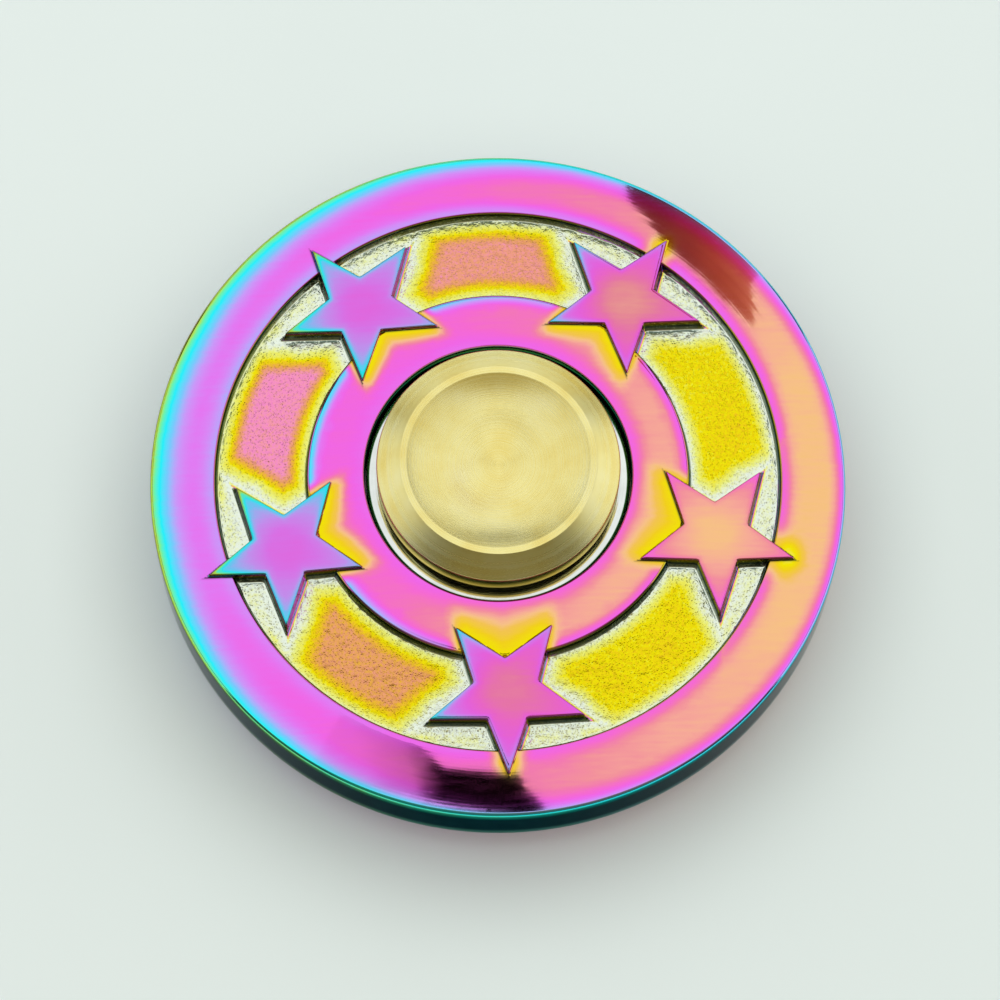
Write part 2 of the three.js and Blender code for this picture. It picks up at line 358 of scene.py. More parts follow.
def cosine(azimuth, towards):
    return np.cos((azimuth - towards) * DEGREE)


def rim_film(r, azimuth, star):
    """Peach to the right and magenta to the left, and through blue to olive at the outer edge."""
    base = 0.515 - 0.115 * cosine(azimuth, -8)
    width = 2.6 + 1.0 * cosine(azimuth, 165)
    edge = 0.93 + 0.07 * cosine(azimuth, 150)
    share = np.clip((r - DISC_R + width) / width, 0, 1)
    late = 0.275 + 0.275 * cosine(azimuth, -30)
    outer = base + (edge - base) * ((1 - late) * share**1.75 + late * share**8)
    inner = (0.115 - 0.055 * cosine(azimuth, 215)) * gaussian(r - RIM_R, 0.85)
    right = smoothstep(-0.45, 0.3, cosine(azimuth, -20))
    halo = 0.2 * right * gaussian(np.maximum(star, 0), 0.7 + 0.5 * np.maximum(cosine(azimuth, -18), 0) ** 8)
    return outer + inner - halo * smoothstep(DISC_R - 2, DISC_R - 4, r)


def hub_film(r, azimuth, star, across):
    """Pink, thicker at the hole and at the groove, and yellow in the notch between a star's points."""
    base = 0.495 - 0.075 * cosine(azimuth, -25)
    bore = (0.58 - 0.02 * cosine(azimuth, -30) - base) * gaussian(r - BORE_R, 1.1)
    notch = smoothstep(4.9, 3.1, np.abs(across))
    edge = (0.2 - 0.06 * cosine(azimuth, -20)) * gaussian(r - HUB_R, 0.6)
    film = base + bore + edge * (1 - notch)
    wide = (0.8 + 0.27 * cosine(azimuth, -55)) * (1.1 - 0.4 * smoothstep(0, 4, np.abs(across)))
    away = np.maximum(star, 0) / wide
    thin = np.interp(away, [0, 0.6, 1.1, 1.7, 2.4], [0.25, 0.28, 0.325, 0.375, 0.42])
    return film + (thin - film) * notch * smoothstep(3.4, 1.3, away)


def star_film(azimuth, star, along, across):
    """Magenta, with blue points on the left and a peach star on the right."""
    base = 0.515 - 0.115 * cosine(azimuth, -12)
    left = 0.5 - 0.5 * cosine(azimuth, -15)
    point = 0.5 - 0.5 * np.cos(np.arctan2(across, along) + (azimuth + 15) * DEGREE)
    blue = np.sqrt(np.maximum(left * point, 0))
    far = np.clip((np.hypot(along, across) - 1.2) / (STAR_TIP_R - 1.2), 0, 1)
    edge = (0.03 + 0.15 * blue) * gaussian(np.minimum(star + 0.1, 0), 0.32)
    return base + (0.11 + 0.145 * blue) * far + edge


CELL_FILM = {-54: 0.27, 18: 0.27, 90: 0.445, 162: 0.5, 234: 0.4}


def floor_film(r, azimuth, star, along, across):
    """White beside the walls and in a star's outer corners, then yellow, then each cell's own colour."""
    hub_side = r - HUB_R + 0.2 + 0.25 * cosine(azimuth, 160)
    rim_side = RIM_R - r + 0.12 + 0.22 * cosine(azimuth, 200)
    wall = np.minimum(np.minimum(hub_side, rim_side), 0.8 * star)
    middle = np.zeros_like(r)
    for cell, film in CELL_FILM.items():
        near = np.abs((azimuth - cell + 180) % 360 - 180)
        middle = np.where(near < 36, film, middle)
    yellow = np.interp(wall, [0.35, 0.7, 1.1, 1.5], [0, 0.08, 0.17, 0.25])
    corner = smoothstep(7.4, 6.0, np.hypot(along - 0.6, across)) * smoothstep(-1, 1, along)
    return yellow * (1 - 0.7 * corner) + (middle - 0.25) * smoothstep(1.2, 2.7, wall)


def star_facing(x, y):
    """The way a star's wall faces, as an angle in the sector's frame."""
    step = 0.01
    east = star_offset(x + step, y) - star_offset(x - step, y)
    north = star_offset(x, y + step) - star_offset(x, y - step)
    return np.degrees(np.arctan2(north, east))


def plating(points):
    """Film thickness (with painted light on star walls facing one way), stippled share, and share of painted
    shade on walls, outer edge, bore and star tops, of each point of the disc.
    """
    x, y, z = points.T
    r = np.hypot(x, y)
    azimuth = np.degrees(np.arctan2(y, x))
    turn = np.round((azimuth + 90) / 72) * 72 - 90
    local = (x + 1j * y) * np.exp(-1j * turn * DEGREE)
    along, across = local.real - STAR_CENTRE_R, local.imag
    star = star_offset(local.real, local.imag)
    facing = star_facing(local.real, local.imag) + turn
    groove = groove_offset(r)
    on_star = smoothstep(0, -0.14, star)
    in_groove = smoothstep(0.1, 0.3, groove)
    stippled = smoothstep(0.46, 0.62, groove) * smoothstep(0.16, 0.34, star)
    plain = np.where(r > 20, rim_film(r, azimuth, star), hub_film(r, azimuth, star, across))
    film = plain + (floor_film(r, azimuth, star, along, across) - plain) * in_groove
    film += (star_film(azimuth, star, along, across) - film) * on_star
    # painted light: star walls at the groove floor that face azimuth 25 get a paler blue film colour
    lit = smoothstep(0.1, 0.7, cosine(facing, 25)) * gaussian(star - 0.08, 0.14) * in_groove * (1 - on_star)
    film += (0.8 - film) * lit
    # painted shade: the groove's walls, and the star walls that face azimuth -125, are darkened towards the
    # dark wall colour
    painted_groove_wall_shade = gaussian(groove - 0.3, 0.12) * (1 - on_star) * smoothstep(-0.1, 0.1, star)
    painted_star_wall_shade = gaussian(star + 0.02, 0.1) * smoothstep(-0.3, 0.3, cosine(facing, -125))
    # painted shade: the rounded outer edge and the bore's wall are darkened towards the dark wall colour; the
    # bore also gets the thick olive film
    fall = face_height(r) - np.abs(z)
    outer = smoothstep(0.16, 0.42, fall) * (r > DISC_R - 0.3)
    hole = smoothstep(0.03, 0.15, fall) * (r < BORE_R + 0.2)
    film += (0.93 - film) * hole
    # painted shade: star tops are made a little darker everywhere but towards azimuth -18
    painted_star_top_shade = 0.12 * on_star * smoothstep(1.0, 0.6, cosine(azimuth, -18))
    wall = np.maximum.reduce([painted_groove_wall_shade, painted_star_wall_shade, outer, 0.8 * hole, painted_star_top_shade])
    return np.clip(film, 0, 1), stippled, wall


STIPPLE = 0.07
WAVE = 0.0022


def disc():
    points, faces = disc_shell()
    # film includes some painted light, and wall is the share of painted shade on each vertex
    film, stippled, wall = plating(points)
    rng = np.random.default_rng(11)
    rough = [noise.noise(Vector(p) * 1.9) + 0.7 * noise.noise(Vector(p) * 3.4) for p in points]
    pits = -np.maximum(rng.uniform(-1.6, 1, len(points)), 0)
    grain = pits + 0.3 * rng.uniform(-1, 1, len(points)) + 0.12 * np.array(rough)
    waves = np.array([noise.noise(Vector(p) * 0.45) for p in points])
    polished = (groove_offset(np.hypot(*points.T[:2])) < -0.15) & (np.abs(points[:, 2]) > 2.8)
    face = np.sign(points[:, 2])
    points[:, 2] += face * (STIPPLE * grain * stippled + WAVE * waves * polished)
    return mesh_object("plated_disc", points, faces, {"film": film, "stippled": stippled, "wall": wall})


# ---- outlines of turned pieces ----


def rounded(outline, steps=4):
    """A closed outline of [radius, height, rounding] corners, with each corner's rounding put in."""
    line = []
    for i, (r, z, radius) in enumerate(outline):
        here = np.array([r, z])
        before = np.array(outline[i - 1][:2]) - here
        after = np.array(outline[(i + 1) % len(outline)][:2]) - here
        spans = np.hypot(*before), np.hypot(*after)
        if radius == 0 or min(spans) < 1e-6:
            line.append([r, z])
            continue
        before, after = before / spans[0], after / spans[1]
        half = math.acos(np.clip(before @ after, -1, 1)) / 2
        cut = min(radius / math.tan(half), 0.48 * spans[0], 0.48 * spans[1])
        middle = before + after
        middle /= np.hypot(*middle)
        centre = here + middle * cut / math.cos(half)
        first, last = here + before * cut - centre, here + after * cut - centre
        start = math.atan2(first[1], first[0])
        sweep = (math.atan2(last[1], last[0]) - start + math.pi) % (2 * math.pi) - math.pi
        arc_radius = np.hypot(*first)
        for j in range(steps + 1):
            a = start + sweep * j / steps
            line.append([centre[0] + arc_radius * math.cos(a), centre[1] + arc_radius * math.sin(a)])
    return line


def sharp(outline, radius=0.0):
    """An outline's [radius, height] corners, each with the same rounding."""
    return [[r, z, radius] for r, z in outline]


# ---- the finger caps ----

UNDERSIDE = 4.65
SEAT = RING_HALF + 0.05
BOSS_R = 5.85
SPIGOT_R = 3.93
SPIGOT_END = -2.7
REGISTER_END = 2.9
SHOULDER = 6.68
LAND_OUTER = 8.18
LAND_INNER = 7.65
LAND_ROUND = 0.1
DISH_DEPTH = 1.4
STUD_R = 2.45
SOCKET_R = 2.55
STUD_TIP = -2.2
SOCKET_END = 2.6
THREAD_PITCH = 0.8
THREAD_DEPTH = 0.4
TURNING_STEP = 0.11
TURNING_DEPTH = 0.001


def cap_outside():
    """From the seat on the inner ring to the middle of the finger pad, with the pad's turning marks."""
    corners = [
        [SPIGOT_R, SEAT, 0],
        [BOSS_R, SEAT, 0.1],
        [BOSS_R, UNDERSIDE, 0.08],
        [CAP_R, UNDERSIDE, 0.22],
        [CAP_R, SHOULDER, 0.3],
        [LAND_OUTER, CAP_TOP, LAND_ROUND],
    ]
    closing = [[LAND_INNER, CAP_TOP, 0], [0, CAP_TOP, 0], [0, SEAT, 0]]
    outside = rounded([*corners, *closing], 6)[:-3]
    bowl = (LAND_INNER**2 + DISH_DEPTH**2) / (2 * DISH_DEPTH)
    pad = []
    for i, r in enumerate(np.arange(LAND_INNER, 0.05, -TURNING_STEP / 2)):
        mark = TURNING_DEPTH * (i % 2) * min(1, (LAND_INNER - r) / 0.5)
        pad.append([r, CAP_TOP - DISH_DEPTH + bowl - math.sqrt(bowl**2 - r**2) - mark])
    crown = [[LAND_OUTER - 0.27, CAP_TOP], [LAND_INNER + 0.08, CAP_TOP - 0.01]]
    return [*outside, *crown, *pad, [0, pad[-1][1] - 0.02]]


def threaded(points, faces, radius, low, high):
    """The points with a thread cut in the cylinder of that radius between two heights."""
    points = np.array(points, float)
    r = np.hypot(points[:, 0], points[:, 1])
    on = (np.abs(r - radius) < 1e-3) & (points[:, 2] > low) & (points[:, 2] < high)
    turn = np.arctan2(points[:, 1], points[:, 0]) / (2 * math.pi)
    phase = (points[:, 2] / THREAD_PITCH - turn) % 1
    ends = smoothstep(0, 0.5, np.minimum(points[:, 2] - low, high - points[:, 2]))
    depth = THREAD_DEPTH * np.clip(np.abs(phase - 0.5) * 2.4 - 0.2, 0, 1) * ends * on
    points[:, :2] *= (1 - depth / np.maximum(r, 1e-6))[:, None]
    return points, faces


def cap(name, inside, thread_radius, low, high, turn_over):
    points, faces = lathe([*inside, *cap_outside()], 160, closed=False)
    points = np.array(points, float)
    if turn_over:
        points[:, 1:] *= -1
        low, high = -high, -low
    points, faces = threaded(points, faces, thread_radius, low, high)
    return mesh_object(name, points, faces)


def thread_rows(radius, start, end):
    count = round(abs(end - start) / THREAD_PITCH * 10)
    return [[radius, z] for z in np.linspace(start, end, count + 1)]


def socketed_cap():
    """The upper cap: a hollow spigot with a thread inside."""
    bore = thread_rows(SOCKET_R, SOCKET_END, SPIGOT_END)
    spigot = [[SPIGOT_R - 0.15, SPIGOT_END], [SPIGOT_R, SPIGOT_END + 0.15]]
    inside = [[0, SOCKET_END + 0.2], [SOCKET_R - 0.4, SOCKET_END], *bore, *spigot]
    return cap("finger_cap_socketed", inside, SOCKET_R, SPIGOT_END, SOCKET_END, False)


def studded_cap():
    """The lower cap: its stud screws into the upper one."""
    stud = thread_rows(STUD_R, STUD_TIP + 0.25, REGISTER_END)
    tip = [[0, STUD_TIP], [STUD_R - 0.4, STUD_TIP]]
    register = [[SPIGOT_R - 0.12, REGISTER_END], [SPIGOT_R, REGISTER_END + 0.12]]
    return cap("finger_cap_studded", [*tip, *stud, *register], STUD_R, STUD_TIP, REGISTER_END, True)


# ---- the bearing ----

PITCH_R = 7.5
BALL_R = 3.969 / 2
GROOVE_R = BALL_R + 0.03
INNER_SHOULDER = 6.05
OUTER_SHOULDER = 8.95
INNER_BORE = 4.0
BALLS = 7
GROOVE_STEPS = 22
MOUTH_R = 9.6
SNAP_GROOVE_R = 9.8
SNAP_GROOVE_LOW = 2.68
SNAP_GROOVE_HIGH = 3.1
SHIELD_SEAT_R = 9.55
SHIELD_SEAT = 2.35
RING_EDGE = 0.03


def outer_ring():
    half = RING_HALF
    above = [
        [RING_R, half, 0.3],
        [MOUTH_R, half, 0.08],
        [MOUTH_R, SNAP_GROOVE_HIGH, RING_EDGE],
        [SNAP_GROOVE_R, SNAP_GROOVE_HIGH, RING_EDGE],
        [SNAP_GROOVE_R, SNAP_GROOVE_LOW, RING_EDGE],
        [SHIELD_SEAT_R, SNAP_GROOVE_LOW, RING_EDGE],
        [SHIELD_SEAT_R, SHIELD_SEAT, RING_EDGE],
        [OUTER_SHOULDER, SHIELD_SEAT, 0.06],
    ]
    wrap = math.degrees(math.acos((OUTER_SHOULDER - PITCH_R) / GROOVE_R))
    groove = sharp(arc([PITCH_R, 0], GROOVE_R, wrap, -wrap, GROOVE_STEPS))
    below = [[r, -z, radius] for r, z, radius in reversed(above)]
    return turned("outer_ring", rounded([*above, *groove, *below]), 160)


def inner_ring():
    half = RING_HALF
    above = [[INNER_SHOULDER, half, 0.25], [INNER_BORE, half, 0.3]]
    below = [[r, -z, radius] for r, z, radius in reversed(above)]
    wrap = math.degrees(math.acos((PITCH_R - INNER_SHOULDER) / GROOVE_R))
    groove = sharp(arc([PITCH_R, 0], GROOVE_R, 180 + wrap, 180 - wrap, GROOVE_STEPS))
    return turned("inner_ring", rounded([*groove, *above, *below]), 144)


SHIELD_SHEET = 0.22
SHIELD_INNER = 6.3
SHIELD_PLATE_R = 8.55
SHIELD_FLANGE_IN = 8.85
SHIELD_FLANGE_R = 9.45
SHIELD_PLATE_Z = 2.98
SHIELD_FLANGE_Z = 2.4


def shield(name, side):
    """A pressed cover: a flat plate, a step and a flange, with its edges rounded."""
    sheet = SHIELD_SHEET
    outline = [
        [SHIELD_INNER, SHIELD_PLATE_Z, 0.08],
        [SHIELD_PLATE_R - sheet, SHIELD_PLATE_Z, 0.15],
        [SHIELD_FLANGE_IN - sheet, SHIELD_FLANGE_Z, 0.3],
        [SHIELD_FLANGE_R, SHIELD_FLANGE_Z, 0.05],
        [SHIELD_FLANGE_R, SHIELD_FLANGE_Z + sheet, 0.05],
        [SHIELD_FLANGE_IN, SHIELD_FLANGE_Z + sheet, 0.12],
        [SHIELD_PLATE_R, SHIELD_PLATE_Z + sheet, 0.3],
        [SHIELD_INNER, SHIELD_PLATE_Z + sheet, 0.1],
    ]
    points, faces = lathe(rounded(outline), 144)
    points = np.array(points) * [1, side, side]
    return mesh_object(name, points, faces)


def swept(sections):
    """A closed surface through a run of sections with equal numbers of points, capped at both ends."""
    count = len(sections[0])
    faces = [list(range(count))[::-1], list(range((len(sections) - 1) * count, len(sections) * count))]
    for i in range(len(sections) - 1):
        for j in range(count):
            k = (j + 1) % count
            faces.append([i * count + j, i * count + k, (i + 1) * count + k, (i + 1) * count + j])
    return np.concatenate(sections), faces


SNAP_INNER = 9.05
SNAP_OUTER = 9.68
SNAP_LOW = 2.74
SNAP_HIGH = 3.04
SNAP_HALF_OPENING = 0.15


def snap_ring(name, side):
    """A round-edged spring ring, open at one place."""
    outline = [
        [SNAP_INNER, SNAP_LOW],
        [SNAP_OUTER, SNAP_LOW],
        [SNAP_OUTER, SNAP_HIGH],
        [SNAP_INNER, SNAP_HIGH],
    ]
    section = np.array(rounded(sharp(outline, 0.06), 3))
    sections = []
    for a in np.linspace(SNAP_HALF_OPENING, 2 * math.pi - SNAP_HALF_OPENING, 150):
        r, z = section.T
        sections.append(np.stack([r * math.cos(a), r * math.sin(a), z], -1))
    points, faces = swept(sections)
    points = points * [1, side, side]
    return mesh_object(name, points, faces)


CAGE_INNER = 6.45
CAGE_OUTER = 8.6
SHEET = 0.3
HALF_GAP = 0.03
RIVET_SHANK = 0.38
RIVET_HEAD = 0.62
RIVET_HEIGHT = 0.26
POCKET_CLEARANCE = 0.11
RIVET_HOLE_R = 0.42
DRILL_REACH = 1.2


def cage_height(angle):
    """Height of the pressed sheet's inner face, over the balls and flat between them."""
    turn = 2 * math.pi / BALLS
    off = abs((angle + turn / 2) % turn - turn / 2) * PITCH_R
    pocket = BALL_R + POCKET_CLEARANCE
    rise = math.sqrt(max(pocket**2 - off**2, 0))
    return float(smooth_max(rise, HALF_GAP, 0.25))


def cage_half(name, side):
    """One pressed half of the ball cage, with its rivet holes drilled."""
    steps = BALLS * 48
    edge = 0.05
    corners = []
    for i in range(steps):
        a = 2 * math.pi * i / steps
        low = cage_height(a)
        slope = (cage_height(a + 0.002) - cage_height(a - 0.002)) / (0.004 * PITCH_R)
        tilt = math.atan(slope)
        over = a - SHEET * math.sin(tilt) / PITCH_R, low + SHEET * math.cos(tilt)
        ring = [
            (CAGE_INNER + edge, a, low),
            (CAGE_OUTER - edge, a, low),
            (CAGE_OUTER, a, low + edge * math.cos(tilt)),
            (CAGE_OUTER, over[0], over[1] - edge),
            (CAGE_OUTER - edge, *over),
            (CAGE_INNER + edge, *over),
            (CAGE_INNER, over[0], over[1] - edge),
            (CAGE_INNER, a, low + edge * math.cos(tilt)),
        ]
        corners.append([(r * math.cos(t), r * math.sin(t), z) for r, t, z in ring])
    points, faces = swept([np.array(c) for c in [*corners, corners[0]]])
    points, faces = weld([(points, faces[2:])])
    made = mesh_object(name, points * [1, side, side], faces)
    drill_rivet_holes(made)
    return made


def at_rivets(points):
    """Copies of the points, one at each rivet's place."""
    copies = []
    for i in range(BALLS):
        a = 2 * math.pi * (i + 0.5) / BALLS
        x = points[:, 0] + PITCH_R
        east = x * math.cos(a) - points[:, 1] * math.sin(a)
        north = x * math.sin(a) + points[:, 1] * math.cos(a)
        copies.append(np.stack([east, north, points[:, 2]], -1))
    return copies


def drill_rivet_holes(made):
    outline = [
        [0, -DRILL_REACH],
        [RIVET_HOLE_R, -DRILL_REACH],
        [RIVET_HOLE_R, DRILL_REACH],
        [0, DRILL_REACH],
    ]
    points, faces = lathe(outline, 24, closed=False)
    parts = at_rivets(np.array(points, float))
    every = np.concatenate(parts)
    all_faces = [[f + i * len(points) for f in face] for i in range(BALLS) for face in faces]
    drill = mesh_object("drill", every, all_faces)
    cut = made.modifiers.new("holes", "BOOLEAN")
    cut.operation = "DIFFERENCE"
    cut.object = drill
    bpy.context.view_layer.update()
    result = made.evaluated_get(bpy.context.evaluated_depsgraph_get())
    made.data = bpy.data.meshes.new_from_object(result)
    made.modifiers.clear()
    bpy.data.objects.remove(drill)


def rivet_points():
    seat = HALF_GAP + SHEET + 0.02
    head = [[RIVET_SHANK, seat], [RIVET_HEAD - 0.04, seat], [RIVET_HEAD, seat + 0.05]]
    angles = np.radians(np.linspace(12, 90, 8))
    dome = [[RIVET_HEAD * math.cos(a), seat + RIVET_HEIGHT * math.sin(a)] for a in angles]
    dome[-1][0] = 0
    above = [*head, *dome]
    return lathe([*mirrored(above), *above], 32, closed=False)


def ball_points(radius):
    ball = bmesh.new()
    bmesh.ops.create_icosphere(ball, subdivisions=5, radius=radius)
    points = np.array([v.co for v in ball.verts])
    faces = [[v.index for v in f.verts] for f in ball.faces]
    ball.free()
    return points, faces


# ---- materials ----


def linear(red, green, blue):
    """A colour given as 8-bit sRGB, as Blender's linear one."""
    shares = [c / 255 for c in (red, green, blue)]
    return [c / 12.92 if c <= 0.04045 else ((c + 0.055) / 1.055) ** 2.4 for c in shares] + [1]


class Finish:
    """A material, with short ways to add nodes to it."""

    def __init__(self, name, **shader):
        self.material = bpy.data.materials.new(name)
        self.material.use_nodes = True
        self.tree = self.material.node_tree
        self.shader = self.tree.nodes["Principled BSDF"]
        for key, value in shader.items():
            self.shader.inputs[key.replace("_", " ")].default_value = value
        place = self.add("ShaderNodeTexCoord")
        self.place = place.outputs["Object"]

    def add(self, kind, inputs=None, **settings):
        made = self.tree.nodes.new(kind)
        for key, value in settings.items():
            setattr(made, key, value)
        for key, value in (inputs or {}).items():
            self.feed(made.inputs[key], value)
        return made

    def feed(self, socket, value):
        if isinstance(value, bpy.types.NodeSocket):
            self.tree.links.new(value, socket)
        else:
            socket.default_value = value

    def math(self, operation, a, b=0.0, c=0.0):
        return self.add("ShaderNodeMath", {0: a, 1: b, 2: c}, operation=operation).outputs[0]

    def between(self, share, low, high):
        """A number that runs from low to high as share runs from 0 to 1."""
        return self.math("MULTIPLY_ADD", share, high - low, low)

    def attribute(self, name):
        return self.add("ShaderNodeAttribute", attribute_name=name).outputs["Fac"]

    def noise(self, scale, detail=3.0, vector=None, roughness=0.5):
        inputs = {"Vector": vector or self.place, "Scale": scale, "Detail": detail, "Roughness": roughness}
        return self.add("ShaderNodeTexNoise", inputs).outputs["Fac"]

    def stretched(self, factors, turn=0.0):
        """Object coordinates turned about Z and scaled, for streaks."""
        inputs = {"Vector": self.place, "Rotation": (0, 0, turn), "Scale": factors}
        return self.add("ShaderNodeMapping", inputs).outputs[0]

    def mix(self, share, first, second):
        """One colour giving way to another, as share runs from 0 to 1."""
        made = self.add("ShaderNodeMixRGB", {"Fac": share, "Color1": first, "Color2": second})
        return made.outputs[0]

    def ramp(self, share, stops):
        made = self.add("ShaderNodeValToRGB", {"Fac": share})
        elements = made.color_ramp.elements
        while len(elements) < len(stops):
            elements.new(0.5)
        for element, (at, colour) in zip(elements, stops):
            element.position = at
            element.color = linear(*colour)
        return made.outputs["Color"]

    def lathe_marks(self, spacing):
        """Random rings about Z: the marks that a tool leaves on turned faces and sides."""
        apart = self.add("ShaderNodeSeparateXYZ", {"Vector": self.place}).outputs
        flat = self.add("ShaderNodeCombineXYZ", {"X": apart["X"], "Y": apart["Y"]}).outputs[0]
        radius = self.add("ShaderNodeVectorMath", {0: flat}, operation="LENGTH").outputs["Value"]
        along = self.math("ADD", radius, self.math("MULTIPLY", apart["Z"], 1.7))
        inputs = {"W": self.math("MULTIPLY", along, 1 / spacing), "Scale": 1.0, "Detail": 2.0}
        return self.add("ShaderNodeTexNoise", inputs, noise_dimensions="1D").outputs["Fac"]

    def bump(self, height, distance, strength):
        inputs = {"Height": height, "Distance": distance, "Strength": strength}
        made = self.add("ShaderNodeBump", inputs)
        self.feed(self.shader.inputs["Normal"], made.outputs[0])


# Colours of the plating by film thickness: on the polished faces, then on the stippled floor.
FILM_COLOURS = [
    (0.0, (236, 245, 230)),
    (0.12, (240, 243, 130)),
    (0.25, (243, 226, 4)),
    (0.3, (243, 206, 30)),
    (0.36, (244, 194, 82)),
    (0.4, (248, 192, 134)),
    (0.44, (247, 168, 152)),
    (0.47, (244, 144, 156)),
    (0.5, (244, 122, 176)),
    (0.54, (247, 106, 208)),
    (0.58, (242, 102, 230)),
    (0.63, (228, 120, 242)),
    (0.69, (204, 150, 248)),
    (0.77, (122, 200, 252)),
    (0.85, (34, 238, 250)),
    (0.92, (110, 240, 170)),
    (0.96, (180, 225, 80)),
    (1.0, (176, 150, 90)),
]
FLOOR_COLOURS = [
    (0.0, (236, 245, 230)),
    (0.12, (240, 243, 130)),
    (0.25, (243, 230, 8)),
    (0.3, (242, 208, 24)),
    (0.36, (240, 180, 62)),
    (0.4, (238, 164, 104)),
    (0.45, (244, 158, 140)),
    (0.5, (250, 150, 192)),
    (0.6, (244, 120, 214)),
]


PIT_SCALE = 5200.0
PIT_DEPTH = 0.00005


def rainbow_plating():
    """Glossy coloured metal. "film" picks the colour, "wall" darkens it towards a dark teal as painted shade,
    "stippled" roughens and pits.
    """
    finish = Finish("rainbow_plating", Metallic=1.0, Specular_Tint=(0.35, 0.4, 0.42, 1))
    stippled = finish.attribute("stippled")
    drift = finish.math("SUBTRACT", finish.noise(160, 3), 0.5)
    specks = finish.math("SUBTRACT", finish.noise(4200, 2), 0.5)
    streaks = finish.noise(300, 4, finish.stretched((1, 9, 1), math.radians(35)))
    brushed = finish.math("SUBTRACT", streaks, 0.5)
    film = finish.math("MULTIPLY_ADD", drift, 0.05, finish.attribute("film"))
    film = finish.math("MULTIPLY_ADD", brushed, 0.035, film)
    film = finish.math("MULTIPLY_ADD", finish.math("MULTIPLY", specks, stippled), 0.16, film)
    # painted shade: the dark teal that the wall attribute mixes into the colour
    wall = finish.ramp(finish.noise(700, 3), [(0.3, (10, 28, 32)), (0.7, (20, 50, 50))])
    coloured = finish.mix(stippled, finish.ramp(film, FILM_COLOURS), finish.ramp(film, FLOOR_COLOURS))
    finish.feed(finish.shader.inputs["Base Color"], finish.mix(finish.attribute("wall"), coloured, wall))
    polished = finish.between(streaks, 0.02, 0.07)
    rough = finish.math("MULTIPLY_ADD", stippled, 0.22, polished)
    finish.feed(finish.shader.inputs["Roughness"], rough)
    voronoi = finish.add("ShaderNodeTexVoronoi", {"Vector": finish.place, "Scale": PIT_SCALE})
    cells = voronoi.outputs["Distance"]
    pits = finish.math("MINIMUM", finish.math("MULTIPLY", cells, 2.2), 1.0)
    grain = finish.math("MULTIPLY", pits, stippled)
    ripples = finish.lathe_marks(0.0007)
    height = finish.math("MULTIPLY_ADD", ripples, 0.06, grain)
    finish.bump(height, PIT_DEPTH, 0.52)
    return finish.material


def turned_brass():
    finish = Finish("turned_brass", Metallic=1.0, Anisotropic=0.85, Specular_Tint=(0.8, 0.66, 0.32, 1))
    marks = finish.lathe_marks(0.00011)
    stain = finish.noise(240, 4)
    share = finish.math("MULTIPLY_ADD", stain, 0.65, finish.math("MULTIPLY", marks, 0.35))
    stops = [(0.3, (236, 212, 116)), (0.5, (246, 233, 156)), (0.7, (251, 244, 186))]
    finish.feed(finish.shader.inputs["Base Color"], finish.ramp(share, stops))
    finish.feed(finish.shader.inputs["Roughness"], finish.between(marks, 0.23, 0.32))
    tangent = finish.add("ShaderNodeTangent", direction_type="RADIAL", axis="Z").outputs[0]
    finish.feed(finish.shader.inputs["Tangent"], tangent)
    finish.bump(marks, 0.000004, 0.5)
    return finish.material


STEEL_MARK_DEPTH = 0.00001


def steel(name, colours, rough, spacing):
    """Ground, pressed or drawn steel: a tint that drifts, fine marks round the axis, and a little grain."""
    finish = Finish(name, Metallic=1.0)
    marks = finish.lathe_marks(spacing)
    drift = finish.noise(420, 4)
    share = finish.math("MULTIPLY_ADD", marks, 0.4, finish.math("MULTIPLY", drift, 0.6))
    finish.feed(finish.shader.inputs["Base Color"], finish.ramp(share, list(zip((0.3, 0.55, 0.8), colours))))
    finish.feed(finish.shader.inputs["Roughness"], finish.between(drift, *rough))
    height = finish.math("MULTIPLY_ADD", finish.noise(3000, 2), 0.3, marks)
    finish.bump(height, STEEL_MARK_DEPTH, 0.5)
    return finish.material


# Colours from dark to light, least and greatest roughness, and the spacing of the marks in metres.
BEARING_STEEL = [(214, 218, 214), (234, 238, 234), (246, 248, 244)], (0.05, 0.12), 0.00022
PRESSED_STEEL = [(160, 164, 168), (186, 190, 194), (206, 209, 212)], (0.24, 0.42), 0.0005
SPRING_STEEL = [(84, 84, 90), (112, 114, 120), (138, 138, 142)], (0.28, 0.46), 0.0003

MATERIALS = {
    "rainbow_plating": rainbow_plating(),
    "turned_brass": turned_brass(),
    "bearing_steel": steel("bearing_steel", *BEARING_STEEL),
    "pressed_steel": steel("pressed_steel", *PRESSED_STEEL),
    "spring_steel": steel("spring_steel", *SPRING_STEEL),
}

# ---- the object ----

BODY_OF = {}
for body, members in frame["record"]["behaviour"]["bodies"].items():
    BODY_OF.update(dict.fromkeys(members, body))


def stand_for(made, node, slot):
    """Puts a finished piece in place of one CAD node."""
    made.data.materials.clear()
    made.data.materials.append(MATERIALS[slot])
    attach(made, BODY_OF[node])
    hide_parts(node)


